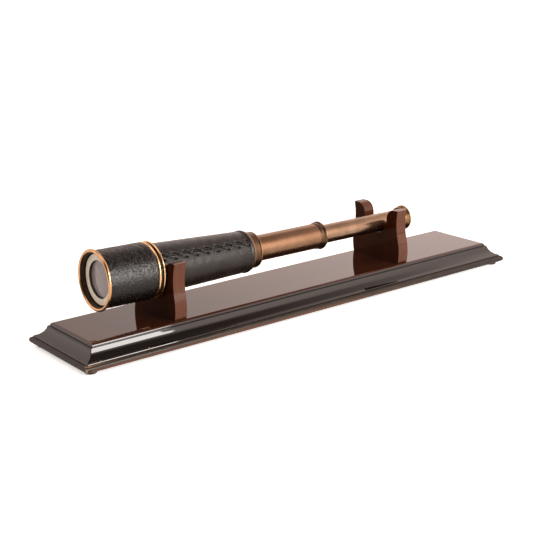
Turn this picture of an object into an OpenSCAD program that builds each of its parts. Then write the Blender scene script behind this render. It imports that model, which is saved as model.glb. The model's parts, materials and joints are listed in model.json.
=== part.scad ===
// Two-draw leather-bound brass telescope resting in the two cradles of a moulded hardwood stand.
// Millimetres, +Z up. The origin is on the ground under the middle of the stand, the stand's
// length runs along X, and the objective end of the telescope points to -X.

/* [Stand] */
// Length of the flat top of the base
base_flat_length = 500; // [460:1:560]
// Width of the flat top of the base
base_flat_width = 72.5; // [70:0.5:84]
// Thickness of the upper board, which carries the ovolo and the cove
top_board_t = 14; // [14:0.1:16]
// Thickness of the lower board, whose edge is a round bead
bead_board_t = 7; // [6.6:0.1:8]
// Radius of the ovolo on the top edge
ovolo_r = 2.8; // [2.5:0.1:3]
// Height of the upright fillet that joins the ovolo to the cove's upper edge
fillet_h = 0.4; // [0.2:0.1:0.6]
// Radius of the hollow cove under the ovolo
cove_r = 13.5; // [13:0.1:13.5]
// Distance of the cove's centre out from the flat top
cove_out = 17.6; // [17.4:0.1:18]
// Depth of the cove's centre below the top
cove_drop = 0.1; // [0:0.1:0.2]
// Overhang of the ledge at the foot of the cove
ledge_out = 14.8; // [14.6:0.1:16]
// Height of the dark quirk between ledge and bead
quirk_h = 0.8; // [0.4:0.1:1]
// Height of the round feet
foot_h = 3; // [2:0.1:4]
// Radius of the round feet
foot_r = 5.8; // [5:0.1:7]
// Inset of a foot's centre from the edge of the bead
foot_inset = 10; // [9:0.5:14]

/* [Cradles] */
// Thickness of both cradles along the telescope
cradle_t = 13; // [12:0.5:13.5]
// Height of the front cradle's horns above the base
front_horn_z = 55; // [54:0.5:57]
// Height of the rear cradle's horns above the base
rear_horn_z = 57; // [55:0.5:60]
// Half width of a cradle at its belly
belly_half = 36.5; // [36:0.1:37]
// Half width of the front cradle at its waist
front_waist_half = 34.4; // [34:0.1:34.8]
// Half width of the rear cradle at its waist
rear_waist_half = 32.4; // [32:0.1:33]
// Height of the belly above the base
belly_z = 12; // [10:0.5:13]
// Height of the front cradle's waist above the base
front_waist_z = 34; // [33:0.5:38]
// Height of the rear cradle's waist above the base
rear_waist_z = 43; // [41:0.5:45]
// Middle of the front cradle
front_cradle_x = -155.6; // [-155.8:0.1:-154]
// Middle of the rear cradle
rear_cradle_x = 128.3; // [120:0.1:130]
// Radius of the rear cradle's round notch
rear_notch_r = 17; // [16:0.1:18]
// Radius that rolls the front horns into the notch
front_roll_r = 7; // [5:0.5:8]
// Radius that rolls the rear horns into the notch
rear_roll_r = 11; // [8:0.5:12]
// Clearance under the telescope in both notches
rest_gap = 0.35; // [0.3:0.05:0.5]

/* [Telescope axis] */
// Station where the draws' axis meets the barrel's axis, inside the collar
bend_x = -56; // [-58:0.5:-54]
// Height of that point above the ground
bend_z = 63.9; // [63:0.1:65]
// Fall of the barrel's axis towards the eyepiece, in degrees
barrel_fall = 1.38; // [1.2:0.01:1.45]
// Fall of the draws' axis towards the eyepiece, in degrees: worn linings let them lie flatter
draw_fall = 0.5; // [0.45:0.01:0.9]

/* [Radii] */
// Outer radius of the leather on the dew shade
shade_r = 27.45; // [27.3:0.05:27.8]
// Outer radius of the rolled bezel bead
bezel_r = 29.2; // [29:0.1:29.6]
// Radius of the wire that the bezel bead is rolled on
bezel_bead_r = 1.45; // [1.2:0.05:1.6]
// Outer radius of the barrel's leather at its front end
barrel_front_r = 24.6; // [24.5:0.05:24.7]
// Outer radius of the barrel's leather at its rear end
barrel_rear_r = 20.65; // [20.5:0.05:20.8]
// Outer radius of the tube that carries the objective
objective_tube_r = 24.2; // [24:0.1:24.3]
// Outer radius of the collar at the barrel's rear end
end_collar_r = 18.2; // [18:0.1:18.5]
// Outer radius of the first draw tube
draw_1_r = 13.05; // [12.9:0.05:13.2]
// Outer radius of the second draw tube
draw_2_r = 9.75; // [9.6:0.05:9.9]
// Outer radius of the eye cup's rim
eye_cup_r = 13.3; // [13:0.1:14]
// Wall of the brass tubes
tube_wall = 0.75; // [0.6:0.05:0.8]
// Thickness of the leather
leather_t = 1; // [0.9:0.05:1.1]

/* [Stations along the axis] */
// Centre of the bezel bead
bezel_x = -224.5; // [-225:0.1:-224]
// Rear edge of the dew shade's own ring
shade_end_x = -168.4; // [-168.6:0.1:-168.3]
// Front face of the objective cell
cell_x = -220; // [-220.4:0.1:-219.6]
// Front edge of the barrel's front ring
barrel_x = -167.7; // [-167.8:0.1:-167.5]
// Rear end of the barrel's leather
leather_end_x = -56.4; // [-57:0.1:-56]
// Rear end of the collar on the barrel
collar_end_x = -44.3; // [-44.6:0.1:-44]
// Rear end of the collar on the first draw
draw_1_end_x = 43.3; // [43:0.1:44]
// Rear end of the second draw tube
draw_2_end_x = 153.2; // [153:0.1:153.5]
// Rear rim of the eye cup
eye_cup_x = 162.8; // [162.6:0.1:163.5]

/* [Optics] */
// Radius of the two objective glasses
objective_r = 19.6; // [19.3:0.1:19.8]
// Clear radius in front of the objective
objective_clear_r = 17.2; // [17:0.1:17.6]
// Radius of the small lenses in the erector and the eyepiece
small_lens_r = 7.9; // [7.4:0.1:8]
// Radius of the eye hole
eye_hole_r = 4; // [3:0.1:5]

/* [Fits] */
// Radial clearance of a draw in its guide
slide_gap = 0.08; // [0.05:0.01:0.1]
// Clearance between pieces that are glued, pressed or screwed together
seat_gap = 0.02; // [0.01:0.01:0.05]
// Number of cross stitches in the barrel's seam
stitches = 8; // [6:1:12]

/* [Hidden] */
$fn = 96;

mahogany = [0.30, 0.13, 0.09];
brass = [0.80, 0.58, 0.38];
copper = [0.62, 0.42, 0.32];
leather = [0.16, 0.15, 0.15];
thread = [0.05, 0.05, 0.05];
felt = [0.20, 0.17, 0.15];
blackened = [0.07, 0.06, 0.06];
lens = [0.75, 0.80, 0.82];
steel = [0.62, 0.62, 0.64];
rubber = [0.12, 0.11, 0.10];

deck_z = foot_h + bead_board_t + top_board_t;
bead_r = (bead_board_t - quirk_h) / 2;
bead_out = ledge_out + bead_r;
quirk_in = ledge_out - 2.6;
foot_x = base_flat_length / 2 + bead_out - foot_inset;
foot_y = base_flat_width / 2 + bead_out - foot_inset;
nail_r = 1;
screw_r = 2;
screw_head_r = 4;
screw_spread = 22;
screw_bite = 18;
belly_share = 0.45;
outline_steps = 20;

shade_tube_r = shade_r - leather_t - seat_gap;
shade_bore_r = shade_tube_r - tube_wall;
ring_w = 3.1;
cell_lip_x = cell_x + 0.3;
cell_back_x = cell_x + 14;
objective_tube_x = cell_x + 7.5;
glass_x = cell_x + 2.6;
crown_edge_t = 2.4;
crown_front_face_r = 190;
crown_back_face_r = 150;
air_gap = 0.5;
flint_x = glass_x + crown_edge_t + air_gap;
flint_edge_t = 4;
flint_back_face_r = 600;
spacer_wall = 1.2;
retainer_x = flint_x + flint_edge_t + 2 * seat_gap;
retainer_t = 1.26;
leather_x = barrel_x + ring_w;
collar_x = leather_end_x + 2;
collar_bead_w = 2.4;
groove_w = 0.6;
bezel_t = 0.4;
draw_1_in_x = -98;
draw_2_in_x = -4;
stop_w = 3;
guide_1_x = -68;
guide_2_x = 27;
guide_1_wall = 1.2;
draw_1_bore_r = draw_1_r - tube_wall;
draw_2_bore_r = draw_2_r - tube_wall;
erector_r = draw_2_bore_r - seat_gap;
eyepiece_bore_r = small_lens_r + seat_gap;
eyepiece_in_x = draw_2_end_x - 38;
eyepiece_ring_x = draw_2_end_x + 1.6;
eyepiece_ring_w = 2.4;
eyepiece_out_x = draw_2_end_x + 6;
cup_throat_r = 10.2;
pin_x = draw_1_end_x - 9.3;
pin_r = 0.7;
pin_turn = 75;
seam_turn = 50;

// Outer radius of the barrel's leather at a station x
function barrel_r(x) = barrel_front_r
    + (barrel_rear_r - barrel_front_r) * (x - leather_x) / (leather_end_x - leather_x);
// Outer and inner radius of the brass tube under the leather
function barrel_tube_r(x) = barrel_r(x) - leather_t - seat_gap;
function barrel_bore_r(x) = barrel_tube_r(x) - tube_wall;
// Slope of the leather's surface, in degrees
barrel_taper = atan((barrel_front_r - barrel_rear_r) / (leather_end_x - leather_x));
// Height of the telescope's axis above the base at a station x
function axis_above_deck(x) = bend_z - deck_z - (x - bend_x) * tan(x < bend_x ? barrel_fall : draw_fall);
// Sum of the belly's and the waist's radii that makes the two arcs of a cradle's side meet smoothly
function arcs_r(waist, waist_z) =
    (pow(waist_z - belly_z, 2) + pow(belly_half - waist, 2)) / (2 * (belly_half - waist));
// Half width of a cradle at height z: a belly arc that runs smoothly into a hollow waist arc
function cradle_half(z, waist, waist_z) =
    let (both_r = arcs_r(waist, waist_z), belly_r = both_r * belly_share, waist_r = both_r - belly_r)
    z < belly_z + (waist_z - belly_z) * belly_share
    ? belly_half - belly_r + sqrt(pow(belly_r, 2) - pow(z - belly_z, 2))
    : waist + waist_r - sqrt(pow(waist_r, 2) - pow(z - waist_z, 2));
// Sag of a spherical lens face of radius face_r at distance r from the axis
function sag(face_r, r) = face_r - sqrt(face_r * face_r - r * r);

// Places its children, built round X, on an axis that falls by this angle through the bend point
module on_fall(fall) {
    translate([bend_x, 0, bend_z]) rotate([0, fall, 0]) translate([-bend_x, 0, 0]) children();
}
module on_axis() {
    on_fall(barrel_fall) children();
}
module on_draw_axis() {
    on_fall(draw_fall) children();
}
// A solid of revolution round X; each point is [radius, station]
module turned(points) {
    rotate([0, 90, 0]) rotate_extrude() polygon(points);
}
// A plain tube from station x0 to x1
module tube(x0, x1, outer_r, inner_r) {
    turned([[inner_r, x0], [outer_r, x0], [outer_r, x1], [inner_r, x1]]);
}
// A ring whose outside is a half-round bead of width w, starting at station x0
module beaded_ring(x0, w, outer_r, inner_r) {
    core_r = outer_r - w / 2;
    rotate([0, 90, 0]) rotate_extrude() {
        translate([inner_r, x0]) square([core_r - inner_r, w]);
        intersection() {
            translate([core_r, x0 + w / 2]) circle(r = w / 2);
            translate([core_r - 0.01, x0]) square([w, w]);
        }
    }
}
// A lens from its two spherical faces; front_bow and back_bow are positive when the face bulges outwards
module round_lens(front_x, edge_t, r, front_face_r, back_face_r, front_bow, back_bow) {
    steps = 10;
    front = [for (i = [0:steps]) let (q = r * i / steps)
        [q, front_x - front_bow * (sag(front_face_r, r) - sag(front_face_r, q))]];
    back = [for (i = [0:steps]) let (q = r * (steps - i) / steps)
        [q, front_x + edge_t + back_bow * (sag(back_face_r, r) - sag(back_face_r, q))]];
    turned(concat(front, back));
}
// Cross section of the upper board for a flat top of half length half
module top_section(half) {
    translate([-half, -top_board_t]) square([2 * half, top_board_t]);
    for (side = [-1, 1]) translate([side * half, -ovolo_r]) circle(r = ovolo_r);
    translate([-half - ovolo_r, -ovolo_r - fillet_h]) square([2 * (half + ovolo_r), fillet_h]);
    difference() {
        translate([-half - ledge_out, -top_board_t])
            square([2 * (half + ledge_out), top_board_t - ovolo_r - fillet_h]);
        for (side = [-1, 1]) translate([side * (half + cove_out), -cove_drop]) circle(r = cove_r);
    }
}
// Cross section of the lower board, with its bead and the quirk above it
module bead_section(half) {
    translate([-half - quirk_in, -bead_board_t]) square([2 * (half + quirk_in), bead_board_t]);
    translate([-half - ledge_out, -bead_board_t]) square([2 * (half + ledge_out), 2 * bead_r]);
    for (side = [-1, 1]) translate([side * (half + ledge_out), bead_r - bead_board_t]) circle(r = bead_r);
}
// Carries a section round a rectangular board, so that it meets itself in mitred corners
module moulded(top_z) {
    reach = base_flat_length + 100;
    translate([0, 0, top_z]) intersection() {
        rotate([90, 0, 0]) linear_extrude(height = reach, center = true) children(0);
        rotate([90, 0, 90]) linear_extrude(height = reach, center = true) children(1);
    }
}
// Puts its children at the four places of the cradle screws
module at_screws() {
    for (x = [front_cradle_x, rear_cradle_x], side = [-1, 1])
        translate([x, side * screw_spread, 0]) children();
}
// Puts its children at the four feet
module at_feet() {
    for (sx = [-1, 1], sy = [-1, 1]) translate([sx * foot_x, sy * foot_y, 0]) children();
}
// Points of an arc from angle a0 to a1 round a centre, in degrees
function arc(centre, r, a0, a1, steps) =
    [for (i = [0:steps]) let (a = a0 + (a1 - a0) * i / steps) centre + r * [cos(a), sin(a)]];
// Right half of a cradle's outline: up the side, over the horn, and down to the bottom of the notch
function half_cradle(horn_z, notch_r, notch_z, waist, waist_z, roll_r) = concat(
    [for (i = [0:outline_steps]) let (z = horn_z * i / outline_steps) [cradle_half(z, waist, waist_z), z]],
    arc([notch_r + roll_r, horn_z - roll_r], roll_r, 90, 180, 10),
    arc([0, notch_z], notch_r, 0, -90, 16));
// A cradle cut from one board, with a round notch of radius notch_r whose centre is notch_z above the base
module cradle(x, horn_z, notch_r, notch_z, waist, waist_z, roll_r) {
    right = half_cradle(horn_z, notch_r, notch_z, waist, waist_z, roll_r);
    left = [for (i = [len(right) - 2:-1:0]) [-right[i][0], right[i][1]]];
    difference() {
        translate([x - cradle_t / 2, 0, deck_z]) rotate([90, 0, 90])
            linear_extrude(height = cradle_t) polygon(concat(right, left));
        at_screws() translate([0, 0, deck_z - 1]) cylinder(h = screw_bite + 1.2, r = screw_r + seat_gap);
    }
}

module base_board() {
    color(mahogany) difference() {
        moulded(deck_z) {
            top_section(base_flat_length / 2);
            top_section(base_flat_width / 2);
        }
        at_screws() cylinder(h = deck_z + 1, r = screw_r + seat_gap);
    }
}
module bead_board() {
    color(mahogany) difference() {
        moulded(foot_h + bead_board_t) {
            bead_section(base_flat_length / 2);
            bead_section(base_flat_width / 2);
        }
        at_screws() {
            cylinder(h = deck_z, r = screw_r + seat_gap);
            translate([0, 0, foot_h - 1]) cylinder(h = 3.5 + seat_gap, r = screw_head_r + 0.3);
        }
        at_feet() cylinder(h = foot_h + 5, r = nail_r + seat_gap);
    }
}
module front_cradle() {
    notch_r = barrel_r(front_cradle_x - cradle_t / 2) + rest_gap;
    color(mahogany) cradle(front_cradle_x, front_horn_z, notch_r, axis_above_deck(front_cradle_x),
        front_waist_half, front_waist_z, front_roll_r);
}
module rear_cradle() {
    bottom = axis_above_deck(rear_cradle_x + cradle_t / 2) - draw_2_r - rest_gap;
    color(mahogany) cradle(rear_cradle_x, rear_horn_z, rear_notch_r, bottom + rear_notch_r,
        rear_waist_half, rear_waist_z, rear_roll_r);
}
module cradle_screws() {
    color(steel) at_screws() difference() {
        union() {
            translate([0, 0, foot_h + 0.6]) cylinder(h = 1.9, r = screw_head_r);
            translate([0, 0, foot_h + 2]) cylinder(h = deck_z + screw_bite - foot_h - 4, r = screw_r);
            translate([0, 0, deck_z + screw_bite - 2]) cylinder(h = 2, r1 = screw_r, r2 = 0.4);
        }
        translate([0, 0, foot_h + 0.9]) cube([1, 2 * screw_head_r - 2, 0.9], center = true);
    }
}
module corner_feet() {
    color(rubber) at_feet() difference() {
        rotate_extrude() polygon([[0, 0], [foot_r - 1.2, 0], [foot_r - 0.4, 0.4], [foot_r, 1.2],
            [foot_r - 0.3, foot_h], [0, foot_h]]);
        translate([0, 0, -1]) cylinder(h = foot_h + 2, r = nail_r + seat_gap);
        translate([0, 0, -1]) cylinder(h = 2.2, r = 2.3);
    }
}
module foot_nails() {
    color(steel) at_feet() {
        translate([0, 0, 0.5]) cylinder(h = 0.7, r = 2.2);
        translate([0, 0, 1.1]) cylinder(h = foot_h + 2.4, r = nail_r);
        translate([0, 0, foot_h + 3.5]) cylinder(h = 1.4, r1 = nail_r, r2 = 0.2);
    }
}

module shade_tube() {
    color(brass) on_axis() tube(bezel_x + 1.6, shade_end_x - ring_w + 1, shade_tube_r, shade_bore_r);
}
module shade_leather() {
    color(leather) on_axis()
        tube(bezel_x + 1.55, shade_end_x - ring_w - seat_gap, shade_r, shade_tube_r + seat_gap);
}
module front_bezel() {
    bead_core_r = bezel_r - bezel_bead_r;
    color(brass) on_axis() rotate([0, 90, 0]) rotate_extrude() {
        translate([bead_core_r, bezel_x]) circle(r = bezel_bead_r);
        translate([shade_bore_r - seat_gap - bezel_t, bezel_x + 1.05])
            square([bead_core_r - shade_bore_r + bezel_t, bezel_t]);
        translate([shade_bore_r - seat_gap - bezel_t, bezel_x + 1.05]) square([bezel_t, 3]);
    }
}
module shade_end_ring() {
    color(brass) on_axis() difference() {
        beaded_ring(shade_end_x - ring_w, ring_w, shade_r + 0.1, objective_tube_r + 0.3);
        tube(shade_end_x - ring_w - 1, shade_end_x - ring_w + 1 + seat_gap, shade_tube_r + seat_gap,
            objective_tube_r);
    }
}
module shade_lining() {
    color(felt) on_axis() tube(shade_end_x - 16, shade_end_x - ring_w + 0.9, shade_bore_r - seat_gap,
        objective_tube_r + slide_gap);
}

module objective_tube() {
    color(brass) on_axis()
        tube(objective_tube_x, barrel_x + ring_w - 0.8, objective_tube_r, objective_tube_r - tube_wall);
}
module objective_cell() {
    socket_r = objective_tube_r - tube_wall - seat_gap;
    glass_bulge = sag(crown_front_face_r, objective_r) - sag(crown_front_face_r, objective_clear_r);
    seat_x = glass_x - glass_bulge - seat_gap;
    shoulder_x = objective_tube_x - seat_gap;
    color(brass) on_axis() turned([[objective_clear_r, seat_x], [objective_clear_r + 0.3, cell_lip_x + 0.5],
        [objective_clear_r + 0.7, cell_lip_x], [objective_tube_r - 0.7, cell_x],
        [objective_tube_r - 0.2, cell_x + 0.2], [objective_tube_r, cell_x + 0.8],
        [objective_tube_r, shoulder_x], [socket_r, shoulder_x], [socket_r, cell_back_x],
        [objective_r + seat_gap, cell_back_x], [objective_r + seat_gap, seat_x]]);
}
module crown_lens() {
    color(lens) on_axis()
        round_lens(glass_x, crown_edge_t, objective_r, crown_front_face_r, crown_back_face_r, 1, 1);
}
module flint_lens() {
    color(lens) on_axis()
        round_lens(flint_x, flint_edge_t, objective_r, crown_back_face_r, flint_back_face_r, -1, -1);
}
module lens_spacer() {
    crown_bulge = sag(crown_back_face_r, objective_r) - sag(crown_back_face_r, objective_r - spacer_wall);
    color(blackened) on_axis() tube(glass_x + crown_edge_t + crown_bulge + seat_gap, flint_x - seat_gap,
        objective_r, objective_r - spacer_wall);
}
module objective_retainer() {
    color(blackened) on_axis() tube(retainer_x, retainer_x + retainer_t, objective_r, objective_clear_r);
}
module barrel_front_ring() {
    socket_x = barrel_x + ring_w - 0.8 + seat_gap;
    nose_r = barrel_tube_r(socket_x);
    color(brass) on_axis() difference() {
        beaded_ring(barrel_x, ring_w, shade_r, nose_r + seat_gap);
        tube(barrel_x - 1, socket_x, objective_tube_r + seat_gap, nose_r - 3);
    }
}
module barrel_tube() {
    x0 = barrel_x + ring_w - 0.7;
    x1 = collar_x;
    color(brass) on_axis() turned([[barrel_bore_r(x0), x0], [barrel_tube_r(x0), x0],
        [barrel_tube_r(x1), x1], [barrel_bore_r(x1), x1]]);
}
module barrel_leather() {
    x0 = leather_x + seat_gap;
    x1 = leather_end_x;
    color(leather) on_axis() turned([[barrel_r(x0) - leather_t, x0], [barrel_r(x0), x0],
        [barrel_r(x1), x1], [barrel_r(x1) - leather_t, x1]]);
}
module leather_welt() {
    x0 = leather_end_x - 5;
    color(leather) on_axis() turned([[barrel_r(x0) + seat_gap, x0], [barrel_r(x0) + 0.45, x0 + 0.5],
        [barrel_r(x0) + 0.65, x0 + 1.6], [barrel_rear_r + 0.75, x0 + 3.4], [barrel_rear_r + 0.5, x0 + 4.5],
        [barrel_rear_r + seat_gap, leather_end_x]]);
}
module seam_lacing() {
    pitch = (leather_end_x - 8 - leather_x - 3) / stitches;
    lace_r = 0.35;
    lace_lift = 0.18;
    lace_length = 12;
    lace_lean = 66;
    color(thread) on_axis() rotate([seam_turn, 0, 0]) for (i = [0:stitches - 1], side = [-1, 1]) {
        x = leather_x + 3 + pitch * (i + 0.5);
        lift = lace_lift + (side > 0 ? 3 : 1) * lace_r;
        translate([x, 0, barrel_r(x) + lift]) rotate([0, barrel_taper, side * lace_lean]) rotate([90, 0, 0])
            cylinder(h = lace_length, r = lace_r, center = true, $fn = 16);
    }
}
module barrel_end_band() {
    x0 = leather_end_x + seat_gap;
    inner_r = barrel_tube_r(x0) + seat_gap;
    color(brass) on_axis() turned([[inner_r, x0], [inner_r + 0.6, x0], [inner_r + 0.75, x0 + 0.6],
        [inner_r + 0.5, collar_x - 0.3], [inner_r, collar_x]]);
}
module barrel_end_collar() {
    sleeve_r = barrel_bore_r(collar_x) - seat_gap;
    shoulder_r = barrel_tube_r(collar_x) + 0.2;
    shoulder_x = collar_x + seat_gap;
    bead_x = collar_end_x - collar_bead_w;
    groove_r = end_collar_r - 0.7;
    inner_r = draw_1_r + slide_gap + guide_1_wall + seat_gap;
    color(copper) on_axis()
        turned([[inner_r, guide_1_x + 1], [sleeve_r, guide_1_x + 1], [sleeve_r, shoulder_x],
            [shoulder_r, shoulder_x], [shoulder_r, collar_x + 0.6], [end_collar_r + 0.25, collar_x + 1],
            [end_collar_r, collar_x + 1.6], [end_collar_r - 0.1, bead_x - groove_w],
            [groove_r, bead_x - groove_w + 0.1], [groove_r, bead_x], [inner_r, bead_x]]);
}
module collar_bead() {
    color(brass) on_axis()
        beaded_ring(collar_end_x - collar_bead_w + seat_gap, collar_bead_w - seat_gap, end_collar_r,
            draw_1_r + 0.45);
}
module draw_1_guide() {
    color(felt) difference() {
        on_axis() tube(guide_1_x, collar_end_x - collar_bead_w, draw_1_r + slide_gap + guide_1_wall,
            draw_1_bore_r);
        on_draw_axis() tube(guide_1_x - 5, collar_end_x, draw_1_r + slide_gap, 0);
    }
}
module glare_stop() {
    x0 = -128;
    outer_r = barrel_bore_r(x0 + 1.2) - 0.05;
    color(blackened) on_axis() turned([[12, x0], [outer_r, x0], [outer_r, x0 + 1.2], [12.4, x0 + 1.2]]);
}

module draw_1_tube() {
    color(brass) on_draw_axis() difference() {
        tube(draw_1_in_x, draw_1_end_x - 4.6, draw_1_r, draw_1_bore_r);
        translate([pin_x, 0, 0]) rotate([pin_turn, 0, 0])
            translate([0, 0, draw_1_r - 2]) cylinder(h = 4, r = pin_r + seat_gap, $fn = 24);
    }
}
module draw_1_stop() {
    color(brass) on_draw_axis()
        tube(draw_1_in_x, draw_1_in_x + stop_w, draw_1_r + 2.2, draw_1_r + seat_gap);
}
module draw_1_collar() {
    x0 = draw_1_end_x - 8.1;
    x1 = draw_1_end_x - 4.2;
    outer_r = draw_1_r + 0.55;
    end_t = 0.35;
    color(brass) on_draw_axis()
        turned([[draw_1_r + seat_gap, x0], [outer_r - 0.2, x0], [outer_r, x0 + 0.3], [outer_r, x1],
            [draw_2_r + 0.4, x1], [draw_2_r + 0.4, x1 - end_t], [draw_1_r + seat_gap, x1 - end_t]]);
}
module draw_1_bead() {
    x0 = draw_1_end_x - 4.2 + seat_gap;
    x1 = draw_1_end_x;
    inner_r = draw_2_r + 0.3;
    rim_r = draw_1_r + 1.65;
    color(copper) on_draw_axis()
        turned([[inner_r, x0], [rim_r - 0.5, x0], [rim_r - 0.1, x0 + 0.6], [rim_r, x0 + 1.4],
            [rim_r - 0.1, x0 + 2.2], [rim_r - 0.6, x0 + 2.9], [rim_r - 1.0, x0 + 3.0],
            [rim_r - 0.9, x0 + 3.5], [rim_r - 1.2, x1 - 0.2], [rim_r - 1.8, x1], [inner_r, x1]]);
}
module collar_pin() {
    color(steel) on_draw_axis() translate([pin_x, 0, 0]) rotate([pin_turn, 0, 0])
        translate([0, 0, draw_1_r - tube_wall + 0.1]) cylinder(h = tube_wall + 0.15, r = pin_r, $fn = 24);
}
module draw_2_guide() {
    color(felt) on_draw_axis()
        tube(guide_2_x, draw_1_end_x - 4.6 - seat_gap, draw_1_bore_r - seat_gap, draw_2_r + slide_gap);
}

module draw_2_tube() {
    color(brass) on_draw_axis() tube(draw_2_in_x, draw_2_end_x, draw_2_r, draw_2_bore_r);
}
module draw_2_stop() {
    color(brass) on_draw_axis()
        tube(draw_2_in_x, draw_2_in_x + stop_w, draw_1_bore_r - 0.25, draw_2_r + seat_gap);
}
module erector_tube() {
    bore_r = small_lens_r + seat_gap;
    color(blackened) on_draw_axis() turned([[bore_r, draw_2_in_x + 1], [erector_r, draw_2_in_x + 1],
        [erector_r, draw_2_in_x + 62], [bore_r, draw_2_in_x + 62]]);
}
module erector_front_lens() {
    color(lens) on_draw_axis() round_lens(draw_2_in_x + 5, 1.8, small_lens_r, 60, 30, 1, 1);
}
module erector_rear_lens() {
    color(lens) on_draw_axis() round_lens(draw_2_in_x + 56, 1.8, small_lens_r, 30, 60, 1, 1);
}
module erector_diaphragm() {
    color(blackened) on_draw_axis() tube(draw_2_in_x + 30, draw_2_in_x + 31, small_lens_r, 2.5);
}
module eyepiece_body() {
    neck_r = draw_2_r + 0.9;
    shoulder_x = draw_2_end_x + seat_gap;
    color(brass) on_draw_axis() turned([[eyepiece_bore_r, eyepiece_in_x], [erector_r, eyepiece_in_x],
        [erector_r, shoulder_x], [draw_2_r, shoulder_x], [neck_r, shoulder_x + 0.6],
        [neck_r, eyepiece_out_x], [eyepiece_bore_r, eyepiece_out_x]]);
}
module field_lens() {
    color(lens) on_draw_axis() round_lens(eyepiece_in_x + 4, 1.8, small_lens_r, 28, 200, 1, 1);
}
module eye_lens() {
    color(lens) on_draw_axis() round_lens(eyepiece_out_x - 4, 1.8, small_lens_r, 24, 200, 1, 1);
}
module eyepiece_spacer() {
    color(blackened) on_draw_axis()
        tube(eyepiece_in_x + 7, eyepiece_out_x - 5.8, small_lens_r, small_lens_r - 0.6);
}
module eyepiece_ring() {
    color(copper) on_draw_axis()
        beaded_ring(eyepiece_ring_x, eyepiece_ring_w, 12, draw_2_r + 0.9 + seat_gap);
}
module eye_cup() {
    x0 = eyepiece_ring_x + eyepiece_ring_w + seat_gap;
    x1 = eye_cup_x;
    neck_r = draw_2_r + 0.9 + seat_gap;
    shoulder_x = eyepiece_out_x + seat_gap;
    color(brass) on_draw_axis() turned([[neck_r, x0], [neck_r + 0.5, x0], [neck_r + 0.8, x0 + 0.5],
        [eye_cup_r - 0.9, x1 - 2.5], [eye_cup_r - 0.2, x1 - 2], [eye_cup_r, x1 - 1.3],
        [eye_cup_r - 0.15, x1 - 0.6], [eye_cup_r - 0.7, x1 - 0.1], [eye_cup_r - 1.3, x1],
        [eye_cup_r - 2, x1 - 0.5], [cup_throat_r, x1 - 1.6], [cup_throat_r, shoulder_x],
        [neck_r, shoulder_x]]);
}
module eye_cap() {
    x0 = eyepiece_out_x + 0.1;
    x1 = eye_cup_x - 1.4;
    rim_r = cup_throat_r - seat_gap;
    color(blackened) on_draw_axis() turned([[eye_hole_r + 1.8, x0], [rim_r, x0], [rim_r, x0 + 1.2],
        [eye_hole_r + 2, x1], [eye_hole_r, x1 - 0.4], [eye_hole_r, x0 + 0.8]]);
}

base_board();
bead_board();
front_cradle();
rear_cradle();
cradle_screws();
corner_feet();
foot_nails();
shade_tube();
shade_leather();
front_bezel();
shade_end_ring();
shade_lining();
objective_tube();
objective_cell();
crown_lens();
flint_lens();
lens_spacer();
objective_retainer();
barrel_front_ring();
barrel_tube();
barrel_leather();
leather_welt();
seam_lacing();
barrel_end_band();
barrel_end_collar();
collar_bead();
draw_1_guide();
glare_stop();
draw_1_tube();
draw_1_stop();
draw_1_collar();
draw_1_bead();
collar_pin();
draw_2_guide();
draw_2_tube();
draw_2_stop();
erector_tube();
erector_front_lens();
erector_rear_lens();
erector_diaphragm();
eyepiece_body();
field_lens();
eye_lens();
eyepiece_spacer();
eyepiece_ring();
eye_cup();
eye_cap();
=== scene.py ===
import json
import math
import random

import bmesh
import bpy
from mathutils import Matrix, Quaternion, Vector, noise


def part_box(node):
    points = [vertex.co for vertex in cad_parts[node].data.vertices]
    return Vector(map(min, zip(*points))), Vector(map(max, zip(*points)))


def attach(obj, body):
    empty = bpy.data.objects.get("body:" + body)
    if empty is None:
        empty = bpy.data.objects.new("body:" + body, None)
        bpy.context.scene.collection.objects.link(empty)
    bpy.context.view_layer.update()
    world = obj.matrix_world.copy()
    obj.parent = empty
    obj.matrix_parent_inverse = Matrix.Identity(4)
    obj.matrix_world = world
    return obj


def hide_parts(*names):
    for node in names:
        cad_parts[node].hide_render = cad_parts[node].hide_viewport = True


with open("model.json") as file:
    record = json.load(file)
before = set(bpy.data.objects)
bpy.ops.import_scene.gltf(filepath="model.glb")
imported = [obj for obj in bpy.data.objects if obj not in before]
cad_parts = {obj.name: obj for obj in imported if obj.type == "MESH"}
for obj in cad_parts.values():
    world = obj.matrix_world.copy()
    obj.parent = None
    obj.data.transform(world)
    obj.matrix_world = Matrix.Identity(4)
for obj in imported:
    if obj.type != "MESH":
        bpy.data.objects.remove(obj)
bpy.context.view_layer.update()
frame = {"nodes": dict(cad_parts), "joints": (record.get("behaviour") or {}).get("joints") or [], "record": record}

MM = 0.001
NODES = frame["nodes"]


# ---------------------------------------------------------------- camera, floor and light

CAMERA_AT = Vector((-733.5, -923.3, 387.4)) * MM
CAMERA_TARGET = Vector((-27.3, 0.0, 42.57)) * MM
CAMERA_ROLL = math.radians(-1.098)
CAMERA_LENS = 81.05


def make_camera():
    data = bpy.data.cameras.new("camera")
    data.sensor_width = 36.0
    data.lens = CAMERA_LENS
    data.clip_start = 0.01
    camera = bpy.data.objects.new("camera", data)
    aim = (CAMERA_TARGET - CAMERA_AT).to_track_quat("-Z", "Y")
    camera.rotation_mode = "QUATERNION"
    camera.rotation_quaternion = aim @ Quaternion((0, 0, 1), CAMERA_ROLL)
    camera.location = CAMERA_AT
    bpy.context.scene.collection.objects.link(camera)
    bpy.context.scene.camera = camera


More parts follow.
